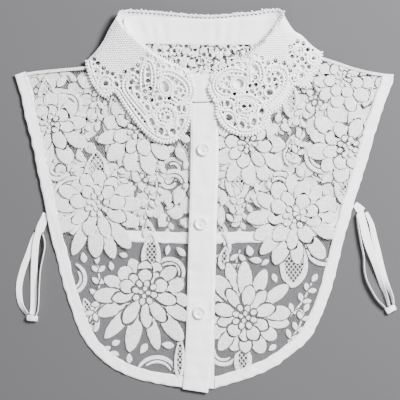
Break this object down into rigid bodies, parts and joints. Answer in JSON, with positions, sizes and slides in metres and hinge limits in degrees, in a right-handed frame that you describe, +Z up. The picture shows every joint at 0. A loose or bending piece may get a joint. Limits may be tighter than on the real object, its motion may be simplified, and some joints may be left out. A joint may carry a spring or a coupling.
{
  "type": "detachable lace collar",
  "caption": "Detachable cut-work lace collar on a cotton neckband, with buttoned lace front panels, a lace back and side elastics, laid flat with the front up.",
  "frame": {"origin": "middle of the garment's plan, on the table that it lies on", "axes": "+Z up from the table through the thin cloth layers, +Y from the hem towards the neck, +X to the right as the front is seen from above"},
  "size_m": [0.3817, 0.3825, 0.0181],
  "materials": {
    "lace": "matt white machine lace on a fine net",
    "cotton": "matt white woven cotton",
    "collar_lace": "matt white corded cut-work lace",
    "button": "satin white resin",
    "elastic": "matt white ribbed elastic tape"
  },
  "bodies": {
    "root": {"lace_front_left": "lace", "lace_front_right": "lace", "lace_back": "lace", "binding_front_left": "cotton", "binding_front_right": "cotton", "binding_back_left": "cotton", "binding_back_right": "cotton", "binding_back_hem": "cotton", "placket_upper": "cotton", "placket_under": "cotton", "collar_stand": "cotton", "collar_fall": "collar_lace", "button_top": "button", "button_middle": "button", "button_bottom": "button", "elastic_left_tab": "elastic", "elastic_left_outer": "elastic", "elastic_left_inner": "elastic", "elastic_left_side": "elastic", "elastic_left_tack": "elastic", "elastic_right_tab": "elastic", "elastic_right_outer": "elastic", "elastic_right_inner": "elastic", "elastic_right_side": "elastic", "elastic_right_tack": "elastic"}
  },
  "joints": []
}
